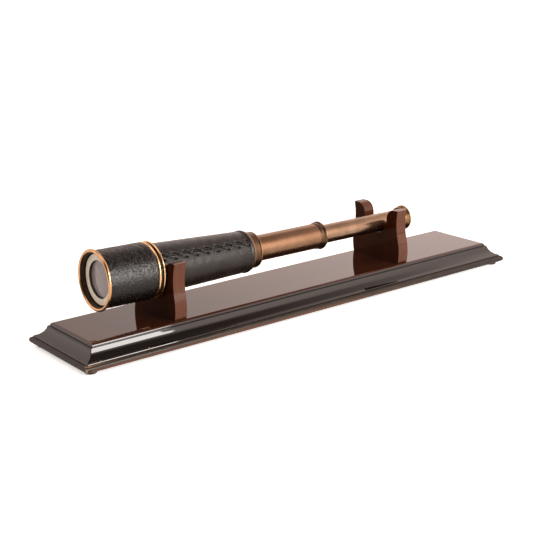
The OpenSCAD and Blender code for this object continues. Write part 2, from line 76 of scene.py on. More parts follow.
def softbox(name, at, aim, size, power, colour, roll):
    """A rectangular panel of light, turned by roll degrees about the line to what it aims at."""
    data = bpy.data.lights.new(name, "AREA")
    data.shape = "RECTANGLE"
    data.size, data.size_y = size
    data.energy = power
    data.color = colour
    light = bpy.data.objects.new(name, data)
    light.location = at
    light.rotation_mode = "QUATERNION"
    turn = Quaternion((0, 0, 1), math.radians(roll))
    light.rotation_quaternion = (Vector(aim) - Vector(at)).to_track_quat("-Z", "Y") @ turn
    bpy.context.scene.collection.objects.link(light)


# Brightness of the studio's walls by heading, in degrees from +X towards +Y
WALLS = ((-180, 0.25), (-150, 0.15), (-75, 0.15), (-62, 2.2), (-50, 2.0), (-40, 1.7), (-28, 1.85),
         (-10, 2.2), (8, 2.2), (22, 1.35), (35, 1.45), (46, 1.4), (54, 1.12), (63, 0.78), (85, 0.85),
         (115, 1.2), (135, 1.5), (160, 0.6), (180, 0.25))
# The share of it that is left by degrees above the horizon, and how much lower that fade is by heading
WALL_TOP = ((0, 1), (41, 1), (44, 0.82), (48, 0.42), (52, 0.20), (56, 0.05), (90, 0.03))
WALL_TOP_DIP = ((-180, 0), (-60, 8), (-35, 7), (-16, 0), (180, 0))
CEILING_LAMP = {"towards": (-0.25, 0.10, 0.96), "inner": 12, "outer": 28, "brightness": 2.2}
WARM = (1.22, 1.0, 0.92, 1)
SWEEP_BRIGHTNESS = 1.05
FLOOR_GLOW = {"seen": 0.60, "mirrored": 0.12}
FLOOR_HALF = 6.0


def add_node(tree, kind, inputs=(), **settings):
    """A shader node whose inputs are set to values or linked to sockets, by name or number."""
    made = tree.nodes.new(kind)
    for key, value in settings.items():
        setattr(made, key, value)
    for key, value in dict(inputs).items():
        if isinstance(value, bpy.types.NodeSocket):
            tree.links.new(value, made.inputs[key])
        else:
            made.inputs[key].default_value = value
    return made


def world_curve(tree, angle, first, last, stops):
    """A value along an angle in radians, from (degrees, value) stops."""
    share = add_node(tree, "ShaderNodeMapRange", {
        "Value": angle, "From Min": math.radians(first), "From Max": math.radians(last)}).outputs[0]
    top = max(value for _, value in stops)
    made = add_node(tree, "ShaderNodeValToRGB", {"Fac": share})
    while len(made.color_ramp.elements) < len(stops):
        made.color_ramp.elements.new(0.5)
    for element, (degrees, value) in zip(made.color_ramp.elements, stops):
        element.position = (degrees - first) / (last - first)
        element.color = (value / top, value / top, value / top, 1)
    return world_math(tree, "MULTIPLY", made.outputs["Color"], top)


def world_math(tree, kind, a, b=0.0, c=0.0):
    return add_node(tree, "ShaderNodeMath", {0: a, 1: b, 2: c}, operation=kind).outputs[0]


def make_world():
    """A white sweep to the eye, while the pieces mirror pale walls, a ceiling lamp and a dark room."""
    world = bpy.data.worlds.new("studio")
    world.use_nodes = True
    tree = world.node_tree
    towards = tree.nodes.new("ShaderNodeTexCoord").outputs["Generated"]
    split = add_node(tree, "ShaderNodeSeparateXYZ", {0: towards}).outputs
    heading = world_math(tree, "ARCTAN2", split[1], split[0])
    walls = world_curve(tree, heading, -180, 180, WALLS)
    dip = world_curve(tree, heading, -180, 180, WALL_TOP_DIP)
    height = world_math(tree, "MULTIPLY_ADD", dip, math.radians(1), world_math(tree, "ARCSINE", split[2]))
    lit = world_math(tree, "MULTIPLY", walls, world_curve(tree, height, 0, 90, WALL_TOP))
    lamp = Vector(CEILING_LAMP["towards"]).normalized()
    facing = add_node(tree, "ShaderNodeVectorMath", {0: towards, 1: lamp}, operation="DOT_PRODUCT")
    glow = add_node(tree, "ShaderNodeMapRange", {
        "Value": facing.outputs["Value"], "From Min": math.cos(math.radians(CEILING_LAMP["outer"])),
        "From Max": math.cos(math.radians(CEILING_LAMP["inner"])),
        "To Max": CEILING_LAMP["brightness"]}, interpolation_type="SMOOTHSTEP").outputs[0]
    seen = tree.nodes.new("ShaderNodeLightPath").outputs["Is Camera Ray"]
    studio = tree.nodes["Background"]
    studio.inputs["Color"].default_value = WARM
    tree.links.new(world_math(tree, "ADD", lit, glow), studio.inputs["Strength"])
    sweep = add_node(tree, "ShaderNodeBackground", {"Color": (1, 1, 1, 1), "Strength": SWEEP_BRIGHTNESS})
    mix = add_node(tree, "ShaderNodeMixShader", {0: seen, 1: studio.outputs[0], 2: sweep.outputs[0]})
    tree.links.new(mix.outputs[0], tree.nodes["World Output"].inputs["Surface"])
    bpy.context.scene.world = world


def make_floor():
    """Pale paper that glows more for the camera than for the pieces that mirror it."""
    mesh = bpy.data.meshes.new("floor")
    half = FLOOR_HALF
    corners = [(-half, -half, 0), (half, -half, 0), (half, half, 0), (-half, half, 0)]
    mesh.from_pydata(corners, [], [(0, 1, 2, 3)])
    floor = bpy.data.objects.new("floor", mesh)
    bpy.context.scene.collection.objects.link(floor)
    paint = bpy.data.materials.new("floor_paper")
    paint.use_nodes = True
    shader = paint.node_tree.nodes["Principled BSDF"]
    shader.inputs["Base Color"].default_value = (0.93, 0.925, 0.915, 1)
    shader.inputs["Roughness"].default_value = 0.9
    shader.inputs["Emission Color"].default_value = (1.0, 0.985, 0.975, 1)
    tree = paint.node_tree
    seen = add_node(tree, "ShaderNodeLightPath").outputs["Is Camera Ray"]
    glow = add_node(tree, "ShaderNodeMapRange", {
        "Value": seen, "To Min": FLOOR_GLOW["mirrored"], "To Max": FLOOR_GLOW["seen"]})
    tree.links.new(glow.outputs[0], shader.inputs["Emission Strength"])
    mesh.materials.append(paint)


make_camera()
make_world()
make_floor()
softbox("key", at=(0.28, -1.25, 0.44), aim=(-0.1, 0, 0.05), size=(0.52, 0.88), power=22,
        colour=(1.0, 0.97, 0.93), roll=-12)
bpy.context.scene.view_settings.view_transform = "Standard"


# ---------------------------------------------------------------- shader kit


class Paint:
    """A Principled material and short calls for its nodes. Patterns follow the piece, in metres."""

    def __init__(self, name, **values):
        self.material = bpy.data.materials.new(name)
        self.material.use_nodes = True
        self.tree = self.material.node_tree
        self.shader = self.tree.nodes["Principled BSDF"]
        self.place = self.tree.nodes.new("ShaderNodeTexCoord").outputs["Object"]
        for key, value in values.items():
            self.set(key, value)

    def set(self, key, value):
        socket = self.shader.inputs[key.replace("_", " ")]
        if isinstance(value, bpy.types.NodeSocket):
            self.tree.links.new(value, socket)
        elif isinstance(value, tuple):
            socket.default_value = (*value, 1)
        else:
            socket.default_value = value

    def node(self, kind, inputs=(), **settings):
        return add_node(self.tree, kind, inputs, **settings)

    def scaled(self, x, y, z, turn=(0, 0, 0)):
        inputs = {"Vector": self.place, "Scale": (x, y, z), "Rotation": turn}
        return self.node("ShaderNodeMapping", inputs).outputs[0]

    def noise(self, scale, detail=4.0, rough=0.55, where=None, distortion=0.0):
        inputs = {"Vector": where or self.place, "Scale": scale, "Detail": detail,
                  "Roughness": rough, "Distortion": distortion}
        return self.node("ShaderNodeTexNoise", inputs).outputs["Fac"]

    def cells(self, scale):
        inputs = {"Vector": self.place, "Scale": scale}
        return self.node("ShaderNodeTexVoronoi", inputs, feature="DISTANCE_TO_EDGE").outputs["Distance"]

    def ramp(self, value, *stops):
        made = self.node("ShaderNodeValToRGB", {"Fac": value})
        ramp = made.color_ramp
        while len(ramp.elements) < len(stops):
            ramp.elements.new(0.5)
        for element, (at, colour) in zip(ramp.elements, stops):
            element.position = at
            element.color = (*colour, 1) if isinstance(colour, tuple) else (colour, colour, colour, 1)
        return made.outputs["Color"]

    def mix(self, share, a, b):
        made = self.node("ShaderNodeMix", data_type="RGBA")
        for index, value in ((0, share), (6, a), (7, b)):
            if isinstance(value, bpy.types.NodeSocket):
                self.tree.links.new(value, made.inputs[index])
            else:
                made.inputs[index].default_value = (*value, 1) if isinstance(value, tuple) else value
        return made.outputs[2]

    def math(self, kind, a, b, clamp=False):
        return self.node("ShaderNodeMath", {0: a, 1: b}, operation=kind, use_clamp=clamp).outputs[0]

    def attribute(self, name):
        return self.node("ShaderNodeAttribute", attribute_name=name).outputs["Fac"]

    def bump(self, height, depth_mm, strength):
        inputs = {"Height": height, "Distance": depth_mm * MM, "Strength": strength}
        return self.node("ShaderNodeBump", inputs).outputs[0]

    def grain(self, cell_scale, fine, fine_share):
        """Height of a leather's grain: small cells between creases, and a share of finer noise."""
        cells = self.ramp(self.cells(cell_scale), (0.0, 0.0), (0.3, 1.0))
        return self.math("ADD", cells, self.math("MULTIPLY", fine, fine_share))


# ---------------------------------------------------------------- materials


def lacquered_wood(name, grain, tones, gloss=1.0):
    """Red-brown wood under clear lacquer. grain is the stretch along X, Y and Z, and gloss is the
    lacquer's share. Its attributes give the lacquer (a low value also darkens the tone: painted shade),
    how ebonised it is (near black) and where it is worn (bare)."""
    dark, middle, light = tones
    paint = Paint(name, Roughness=0.5, Specular_IOR_Level=0.0, Coat_Roughness=0.03, Coat_IOR=1.5)
    fibre = paint.noise(70, 6, 0.6, paint.scaled(*grain), 1.6)
    pores = paint.noise(520, 3, 0.7, paint.scaled(*grain))
    tone = paint.ramp(fibre, (0.28, dark), (0.52, middle), (0.78, light))
    tone = paint.mix(paint.ramp(pores, (0.58, 0.0), (0.78, 0.5)), tone, tuple(0.3 * c for c in dark))
    ebony = paint.mix(fibre, (0.004, 0.003, 0.0026), (0.010, 0.007, 0.006))
    # Where the lacquer attribute is low the tone goes 60% of the way to black: painted shade
    painted_shade_tone = paint.mix(0.6, tone, (0.0, 0.0, 0.0))
    tone = paint.mix(paint.attribute("lacquer_and_painted_shade"), painted_shade_tone, tone)
    tone = paint.mix(paint.attribute("ebonised"), tone, ebony)
    scuff = paint.ramp(paint.noise(420, 5, 0.75), (0.42, 0.0), (0.50, 1.0))
    worn = paint.math("MULTIPLY", paint.attribute("worn"), scuff)
    paint.set("Base_Color", paint.mix(worn, tone, (0.40, 0.24, 0.14)))
    lacquer = paint.math("SUBTRACT", paint.attribute("lacquer_and_painted_shade"), worn, clamp=True)
    paint.set("Coat_Weight", paint.math("MULTIPLY", lacquer, gloss))
    paint.set("Coat_Normal", paint.bump(paint.noise(22, 2, 0.4), 0.05, 0.3))
    paint.set("Normal", paint.bump(fibre, 0.02, 0.4))
    return paint.material


def scuffed_bead():
    """Satin dark brown, with attributes worn (bare wood on the arrises) and bare (a paler lower edge)."""
    paint = Paint("scuffed_bead", Roughness=0.36, Specular_IOR_Level=0.22)
    rub = paint.noise(150, 5, 0.7, paint.scaled(0.35, 1, 1))
    scuff = paint.ramp(paint.noise(420, 5, 0.75), (0.38, 0.0), (0.48, 1.0))
    worn = paint.math("MULTIPLY", paint.attribute("worn"), scuff)
    tone = paint.ramp(rub, (0.30, (0.010, 0.006, 0.004)), (0.72, (0.030, 0.021, 0.015)))
    tone = paint.mix(paint.attribute("bare"), tone, (0.085, 0.036, 0.018))
    paint.set("Base_Color", paint.mix(worn, tone, (0.34, 0.19, 0.10)))
    paint.set("Normal", paint.bump(rub, 0.05, 0.5))
    return paint.material


def shade_leather():
    """Black leather, lighter on a pebble's crown and darker in a crease: painted shade in the creases."""
    paint = Paint("pebbled_leather", Specular_IOR_Level=0.34)
    cloud = paint.noise(220, 2, 0.5)
    # The crease colour is darker than the crown's: painted shade in the creases
    crease, crown = (0.0016, 0.0011, 0.0008), (0.0055, 0.0040, 0.0031)
    paint.set("Base_Color", paint.mix(paint.attribute("lit_crown"), crease, crown))
    paint.set("Roughness", paint.ramp(cloud, (0.3, 0.24), (0.7, 0.30)))
    paint.set("Normal", paint.bump(paint.grain(1500, paint.noise(2600, 3, 0.6), 0.4), 0.05, 0.4))
    return paint.material


def barrel_leather():
    """Black hide whose attribute shaded is 1 in the seam and in its stitch holes."""
    paint = Paint("smooth_hide", Specular_IOR_Level=0.29)
    cloud = paint.noise(55, 4, 0.6)
    tone = paint.ramp(cloud, (0.3, (0.007, 0.0053, 0.0044)), (0.7, (0.013, 0.0100, 0.0085)))
    paint.set("Base_Color", paint.mix(paint.attribute("shaded"), tone, (0.001, 0.0009, 0.0008)))
    paint.set("Roughness", paint.ramp(cloud, (0.3, 0.24), (0.7, 0.31)))
    paint.set("Normal", paint.bump(paint.grain(1150, paint.noise(1800, 4, 0.65), 0.5), 0.10, 0.45))
    return paint.material


def metal(name, colour, dark, roughness, tarnish, brushed=0.0):
    """Lacquered brass: cloudy tarnish, dark specks and, if brushed, fine turning marks round the tube."""
    paint = Paint(name, Metallic=1.0)
    cloud = paint.noise(38, 5, 0.62)
    speck = paint.noise(520, 3, 0.7)
    tone = paint.mix(paint.ramp(cloud, (0.35, 0.0), (0.75, tarnish)), colour, dark)
    tone = paint.mix(paint.ramp(speck, (0.66, 0.0), (0.74, tarnish)), tone, dark)
    paint.set("Base_Color", tone)
    unevenness = paint.math("MULTIPLY", paint.math("SUBTRACT", cloud, 0.5), 0.14)
    paint.set("Roughness", paint.math("ADD", roughness, unevenness))
    if brushed:
        turning = paint.noise(2600, 2, 0.5, paint.scaled(1, 0.02, 0.02))
        paint.set("Normal", paint.bump(turning, 0.012, brushed))
    return paint.material


def cream_lacquer():
    paint = Paint("cream_lacquer", Roughness=0.62, Specular_IOR_Level=0.35)
    cloud = paint.noise(70, 5, 0.65)
    paint.set("Base_Color", paint.ramp(cloud, (0.3, (0.66, 0.635, 0.52)), (0.7, (0.80, 0.765, 0.635))))
    paint.set("Normal", paint.bump(paint.noise(900, 4), 0.03, 0.5))
    return paint.material


def lens_glass():
    # The grey base colour is a painted reflection of the room on the glass, uneven in a cloud
    paint = Paint("lens_glass", Transmission_Weight=0.45, Roughness=0.04, IOR=1.52)
    painted_reflection = paint.noise(90, 5, 0.7)
    paint.set("Base_Color", paint.ramp(painted_reflection, (0.35, (0.37, 0.34, 0.345)), (0.7, (0.49, 0.455, 0.46))))
    return paint.material


def umber_and_gap_shade():
    """Dark brown varnish inside the dew shade's mouth, and painted shade on the ring feet in the gap between the
    two rings.
    """
    paint = Paint("umber_and_gap_shade", Roughness=0.4, Specular_IOR_Level=0.3)
    paint.set("Base_Color", paint.mix(paint.noise(120, 4), (0.016, 0.008, 0.003), (0.040, 0.020, 0.008)))
    return paint.material


def flat_black(name, colour=(0.012, 0.011, 0.011), roughness=0.6, scale=900):
    paint = Paint(name, Roughness=roughness)
    grit = paint.noise(scale, 4, 0.6)
    paint.set("Base_Color", paint.mix(grit, colour, tuple(2.2 * c for c in colour)))
    paint.set("Normal", paint.bump(grit, 0.05, 0.5))
    return paint.material


def waxed_thread():
    paint = Paint("waxed_thread", Roughness=0.42)
    slanted = paint.scaled(1, 1, 1, (0.6, 0.2, 0.5))
    wave = {"Vector": slanted, "Scale": 900.0, "Distortion": 1.0}
    twist = paint.node("ShaderNodeTexWave", wave).outputs["Fac"]
    paint.set("Base_Color", paint.mix(twist, (0.006, 0.006, 0.006), (0.018, 0.017, 0.016)))
    paint.set("Normal", paint.bump(twist, 0.08, 0.7))
    return paint.material


def plain_steel():
    paint = Paint("plain_steel", Metallic=1.0, Roughness=0.35)
    cloud = paint.noise(240, 4)
    paint.set("Base_Color", paint.ramp(cloud, (0.3, (0.36, 0.35, 0.34)), (0.7, (0.58, 0.57, 0.56))))
    return paint.material


WOOD_BASE = lacquered_wood("mahogany_board", (0.08, 1.0, 1.0),
                           ((0.028, 0.0075, 0.003), (0.036, 0.0098, 0.004), (0.044, 0.0125, 0.005)))
WOOD_CRADLE = lacquered_wood("mahogany_cradle", (1.0, 1.0, 0.12),
                             ((0.062, 0.0165, 0.0048), (0.074, 0.020, 0.006), (0.088, 0.0255, 0.008)), 0.7)
WOOD_BEAD = scuffed_bead()
PEBBLED = shade_leather()
HIDE = barrel_leather()
GOLD = metal("gold_brass", (0.80, 0.53, 0.28), (0.42, 0.25, 0.11), 0.20, 0.2)
ROSE = metal("rose_brass", (0.62, 0.37, 0.19), (0.34, 0.19, 0.09), 0.20, 0.35)
COPPER = metal("copper_brown", (0.115, 0.068, 0.042), (0.05, 0.027, 0.015), 0.30, 0.5)
DRAW = metal("draw_brass", (0.25, 0.145, 0.088), (0.13, 0.068, 0.034), 0.27, 0.75, 0.1)
DRAW_PALE = metal("pale_draw_brass", (0.30, 0.205, 0.140), (0.16, 0.088, 0.043), 0.24, 0.75, 0.1)
CUP = metal("cup_brass", (0.25, 0.150, 0.070), (0.09, 0.048, 0.020), 0.30, 0.6)
DULL = metal("dull_brass", (0.20, 0.12, 0.06), (0.06, 0.035, 0.02), 0.45, 0.6)
CREAM = cream_lacquer()
GLASS = lens_glass()
BLACK = flat_black("optical_black")
UMBER_AND_GAP_SHADE = umber_and_gap_shade()
FELT = flat_black("felt", (0.030, 0.022, 0.017), 0.95, 1600)
RUBBER = flat_black("foot_rubber", (0.018, 0.017, 0.016), 0.7, 700)
THREAD = waxed_thread()
STEEL = plain_steel()

# The paint of each slot in the record, and of the carried-over nodes that have their own
SLOT_PAINT = {
    "mahogany": WOOD_BASE, "steel": STEEL, "rubber": RUBBER, "black_leather": PEBBLED, "barrel_hide": HIDE,
    "thread": THREAD, "brass_bright": GOLD, "copper_brown": COPPER, "draw_brass": DRAW, "plain_brass": DULL,
    "cream_lacquer": CREAM, "lens_glass": GLASS, "blackened": BLACK, "felt": FELT,
}
OWN_PAINT = {"shade_tube": UMBER_AND_GAP_SHADE, "collar_pin": DULL}
NODE_SLOT = {s["node"]: s["material_slot"] for s in frame["record"]["subparts"]}


def paint_frame():
    for name, piece in NODES.items():
        piece.data.materials.clear()
        piece.data.materials.append(OWN_PAINT.get(name, SLOT_PAINT[NODE_SLOT[name]]))


# ---------------------------------------------------------------- mesh kit


def new_piece(name, vertices, faces, paints, sharp=35.0):
    mesh = bpy.data.meshes.new(name)
    mesh.from_pydata([tuple(v) for v in vertices], [], faces)
    mesh.validate()
    for paint in paints:
        mesh.materials.append(paint)
    mesh.polygons.foreach_set("use_smooth", [True] * len(mesh.polygons))
    mesh.set_sharp_from_angle(angle=math.radians(sharp))
    piece = bpy.data.objects.new(name, mesh)
    bpy.context.scene.collection.objects.link(piece)
    return piece


def mark_points(mesh, name, values):
    """A named value on each point of a mesh, which its paint reads."""
    mesh.attributes.new(name, "FLOAT", "POINT").data.foreach_set("value", values)


def weigh_normals(piece):
    modifier = piece.modifiers.new("weighted", "WEIGHTED_NORMAL")
    modifier.keep_sharp = True
    modifier.weight = 80


def stands_for(piece, *nodes):
    """piece shows in place of these nodes and moves with their body."""
    body = next(b for b, members in frame["record"]["behaviour"]["bodies"].items() if nodes[0] in members)
    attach(piece, body)
    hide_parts(*nodes)
    return piece


def rounded(points, radius, steps=4, closed=True):
    """The polygon of (a, b) points with each real corner replaced by an arc of at most this radius."""
    out = []
    count = len(points)
    for i, point in enumerate(points):
        if not closed and i in (0, count - 1):
            out.append(tuple(point))
            continue
        before, here, after = (Vector(points[(i + k) % count]) for k in (-1, 0, 1))
        a, b = before - here, after - here
        if a.length < 1e-9 or b.length < 1e-9:
            continue
        turn = a.angle(b)
        if turn > math.radians(155):
            out.append(tuple(here))
            continue
        cut = min(radius / math.tan(turn / 2), 0.45 * a.length, 0.45 * b.length)
        start, end = here + a.normalized() * cut, here + b.normalized() * cut
        for k in range(steps + 1):
            t = k / steps
            out.append(tuple(start * (1 - t) ** 2 + here * 2 * t * (1 - t) + end * t * t))
    return out


def arc_points(centre, radius, first, last, steps):
    """Points on an arc in degrees, both ends included."""
    angles = [math.radians(first + (last - first) * i / steps) for i in range(steps + 1)]
    return [(centre[0] + radius * math.cos(a), centre[1] + radius * math.sin(a)) for a in angles]


# ---------------------------------------------------------------- the telescope's two axes


def joint_axis(name):
    return Vector(next(j for j in frame["joints"] if j["name"] == name)["axis"]).normalized()


def axis_frame(direction, node):
    """Matrix of an axis through the middle of a round node: X runs along the axis, and Z points up."""
    across = Vector((0, 1, 0))
    turn = Matrix((direction, across, direction.cross(across))).transposed()
    local = [turn.transposed() @ v.co for v in NODES[node].data.vertices]
    middle = [(min(p[k] for p in local) + max(p[k] for p in local)) / 2 for k in (1, 2)]
    return Matrix.Translation(turn @ Vector((0, *middle))) @ turn.to_4x4()


BARREL = axis_frame(-joint_axis("shade_slide"), "objective_tube")
DRAWS = axis_frame(joint_axis("draw_1_slide"), "draw_2_tube")


def reach(node, axis):
    """First and last station and smallest and largest radius of a round node about an axis."""
    back = axis.inverted()
    local = [back @ v.co for v in NODES[node].data.vertices]
    radii = [math.hypot(p.y, p.z) for p in local]
    stations = [p.x for p in local]
    return min(stations), max(stations), min(radii), max(radii)


def lathe(name, axis, profile, paints, pick=None, segments=160):
    """Turns a closed profile of (station, radius) points round an axis. pick gives the number of a face's
    paint from its station and radius."""
    vertices, faces = [], []
    for k in range(segments):
        angle = 2 * math.pi * k / segments
        for station, radius in profile:
            vertices.append(axis @ Vector((station, radius * math.sin(angle), radius * math.cos(angle))))
    count = len(profile)
    for k in range(segments):
        for i in range(count):
            here, there = k * count, (k + 1) % segments * count
            after = (i + 1) % count
            faces.append((here + i, there + i, there + after, here + after))
    piece = new_piece(name, vertices, faces, paints)
    face_outwards(piece)
    if pick:
        back = axis.inverted()
        for polygon in piece.data.polygons:
            at = back @ polygon.center
            polygon.material_index = pick(at.x, math.hypot(at.y, at.z))
    weigh_normals(piece)
    return piece


# ---------------------------------------------------------------- the stand

# The upper board's moulding, and where its stain turns black under the top
OVOLO = 2.8 * MM
FILLET = 0.4 * MM
COVE = 13.5 * MM
COVE_OUT = 17.6 * MM
COVE_DROP = 0.1 * MM
LEDGE_OUT = 14.8 * MM
LEDGE_LEAN = 0.4 * MM
EBONY_BELOW = 0.9 * MM
EBONY_FADE = 0.8 * MM
# The lower board's quirk over the bead, and how far its caps lie behind that
QUIRK = 0.5 * MM
QUIRK_DEEP = 1.2 * MM
CORE_IN = 5 * MM
# The eased mitres, and how far in from a board's corner line they keep that size
CORNER = 0.55 * MM
CORNER_DEEP = 4 * MM
# The cradles' arrises, and the height over which their foot gains its lacquer and loses its painted shade
CRADLE_EASE = 0.75 * MM
CRADLE_FOOT_FADE = 3 * MM


def ring_stations(corner_steps, long_steps, short_steps):
    """Stations round a rectangle: the corner's signs and ease direction, the share of the way to the next
    corner, and that corner's signs."""
    corners = ((1, 1, 0), (-1, 1, 90), (-1, -1, 180), (1, -1, 270))
    out = []
    for i, (side_x, side_y, first) in enumerate(corners):
        for k in range(corner_steps + 1):
            angle = math.radians(first + 90 * k / corner_steps)
            out.append((side_x, side_y, math.cos(angle), math.sin(angle), 0.0, 0, 0))
        next_x, next_y, _ = corners[(i + 1) % 4]
        steps = long_steps if side_y == next_y else short_steps
        angle = math.radians(first + 90)
        for k in range(1, steps):
            share = (1 - math.cos(math.pi * k / steps)) / 2
            out.append((side_x, side_y, math.cos(angle), math.sin(angle), share, next_x, next_y))
    return out


def swept_board(name, half_x, half_y, profile, marks, paint):
    """Carries a profile of (out, z) points round a rectangle, with eased mitres, and caps both ends.
    marks gives named values from a point's (out, x, y, z)."""
    stations = ring_stations(corner_steps=4, long_steps=90, short_steps=22)
    vertices, faces = [], []
    values = {key: [] for key in marks}
    for out, z in profile:
        ease = min(CORNER, CORNER + out + CORNER_DEEP)
        arc_x, arc_y = half_x + out - ease, half_y + out - ease
        for side_x, side_y, ease_x, ease_y, share, next_x, next_y in stations:
            x = side_x * arc_x + ease * ease_x + (next_x - side_x) * arc_x * share
            y = side_y * arc_y + ease * ease_y + (next_y - side_y) * arc_y * share
            vertices.append((x, y, z))
            for key, rule in marks.items():
                values[key].append(rule(out, x, y, z))
    count = len(stations)
    for i in range(len(profile) - 1):
        for k in range(count):
            a, b = i * count + k, i * count + (k + 1) % count
            faces.append((a, b, b + count, a + count))
    faces.append(tuple(range(count)))
    last = (len(profile) - 1) * count
    faces.append(tuple(last + k for k in reversed(range(count))))
    piece = new_piece(name, vertices, faces, [paint], 40)
    for key in marks:
        mark_points(piece.data, key, values[key])
    face_outwards(piece)
    weigh_normals(piece)
    return piece


def face_outwards(piece):
    """Turns every face's normal to the outside."""
    bm = bmesh.new()
    bm.from_mesh(piece.data)
    bmesh.ops.recalc_face_normals(bm, faces=bm.faces)
    bm.to_mesh(piece.data)
    bm.free()


def base_board():
    """The upper board: ovolo, fillet, cove and ledge."""
    low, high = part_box("base_board")
    half_x, half_y = high.x - LEDGE_OUT, high.y - LEDGE_OUT
    top, bottom = high.z, low.z
    step_z = top - OVOLO - FILLET
    first = 180 + math.degrees(math.asin((OVOLO + FILLET - COVE_DROP) / COVE))
    last = 180 + math.degrees(math.acos((COVE_OUT - LEDGE_OUT) / COVE))
    cove = arc_points((COVE_OUT, top - COVE_DROP), COVE, first, last, 30)
    outline = [(0.0, top)] + arc_points((0, top - OVOLO), OVOLO, 90, 0, 12)[1:]
    outline += rounded([(OVOLO, step_z), cove[0], cove[4]], 0.35 * MM, 4, False)[:-1]
    nose = (LEDGE_OUT - LEDGE_LEAN, cove[-1][1])
    ledge = [cove[-4], nose, (LEDGE_OUT, bottom), (0, bottom)]
    outline += cove[4:-3] + rounded(ledge, 0.12 * MM, 3, False)[1:]

    def ebonised(out, x, y, z):
        """Lacquered brown on the deck, turning near black down the ovolo."""
        return min(1.0, max(0.0, (top - z - EBONY_BELOW) / EBONY_FADE))

    # The deck is lacquered all over and gets no painted shade
    marks = {"ebonised": ebonised, "lacquer_and_painted_shade": lambda out, x, y, z: 1.0}
    piece = swept_board("moulded_top_board", half_x, half_y, outline, marks, WOOD_BASE)
    stands_for(piece, "base_board")


def bead_board():
    """The lower board: a round bead with a quirk over it."""
    low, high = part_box("bead_board")
    shoulder = high.z - QUIRK
    bead = (shoulder - low.z) / 2
    centre_out = -bead
    inner = centre_out - QUIRK_DEEP
    core = inner - CORE_IN
    middle = low.z + bead
    outline = [(core, high.z), (inner, high.z), (inner, shoulder), (centre_out, shoulder)]
    outline += arc_points((centre_out, middle), bead, 90, -90, 18)[1:]
    outline += [(core, low.z)]

    def worn(out, x, y, z):
        """Rubbed through at the near left mitre, and for a short way along the top of the front bead."""
        corner = math.hypot(x - low.x, y - low.y)
        mitre = math.exp(-(corner / (1.2 * MM)) ** 2) if out > centre_out else 0.0
        rubbed = out > centre_out and z > middle + 0.86 * bead and y < low.y + 5 * MM
        return max(mitre, math.exp(-corner / (14 * MM)) if rubbed else 0.0)

    def bare(out, x, y, z):
        """The front bead's lower edge, where the stain is thin, fading towards the far end."""
        lower = min(1.0, max(0.0, (middle + 0.25 * bead - z) / (0.4 * bead)))
        lower *= min(1.0, max(0.0, (0.6 * high.x - x) / (0.5 * high.x)))
        return lower if out > centre_out and y < low.y + 6 * MM and x > low.x + 6 * MM else 0.0

    marks = {"worn": worn, "bare": bare}
    piece = swept_board("beaded_lower_board", high.x, high.y, outline, marks, WOOD_BEAD)
    stands_for(piece, "bead_board")


def cradle_polish_and_shade(vertex, foot):
    """Full lacquer on the narrow faces, and less on the wide ones and in the lowest few millimetres, where the
    tone is also darker: painted shade.
    """
    narrow = 1.3 * math.hypot(vertex.normal.y, vertex.normal.z)
    return min(1.0, narrow, 0.25 + (vertex.co.z - foot) / CRADLE_FOOT_FADE)


def cradle(node, name):
    """The cradle's own outline with its arrises eased."""
    mesh = NODES[node].data.copy()
    bm = bmesh.new()
    bm.from_mesh(mesh)
    bmesh.ops.remove_doubles(bm, verts=bm.verts, dist=1e-6)
    bmesh.ops.dissolve_limit(bm, angle_limit=math.radians(0.6), verts=bm.verts, edges=bm.edges)
    bm.to_mesh(mesh)
    bm.free()
    mesh.materials.clear()
    mesh.materials.append(WOOD_CRADLE)
    piece = bpy.data.objects.new(name, mesh)
    bpy.context.scene.collection.objects.link(piece)
    bevel = piece.modifiers.new("eased", "BEVEL")
    bevel.width = CRADLE_EASE
    bevel.segments = 4
    bevel.limit_method = "ANGLE"
    bevel.angle_limit = math.radians(50)
    bake = bpy.context.evaluated_depsgraph_get()
    eased = bpy.data.meshes.new_from_object(piece.evaluated_get(bake))
    piece.modifiers.clear()
    piece.data = eased
    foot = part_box(node)[0].z
    # The lacquer share by face also darkens the wide faces and the foot: painted shade
    mark_points(eased, "lacquer_and_painted_shade", [cradle_polish_and_shade(v, foot) for v in eased.vertices])
    eased.polygons.foreach_set("use_smooth", [True] * len(eased.polygons))
    eased.set_sharp_from_angle(angle=math.radians(35))
    weigh_normals(piece)
    stands_for(piece, node)


# ---------------------------------------------------------------- the dew shade


BEZEL_BEAD = 1.7 * MM
BEZEL_SHEET = 0.4 * MM
RING_FOOT = 2.1 * MM
SHADE_RING_BEAD = 1.3 * MM
NOSE_NECK = 1.4 * MM
SHADE_SWELL = 0.08 * MM
PEBBLE = 1.9 * MM
PEBBLE_HEIGHT = 0.21 * MM
PEBBLE_LEAN = 0.75 * MM


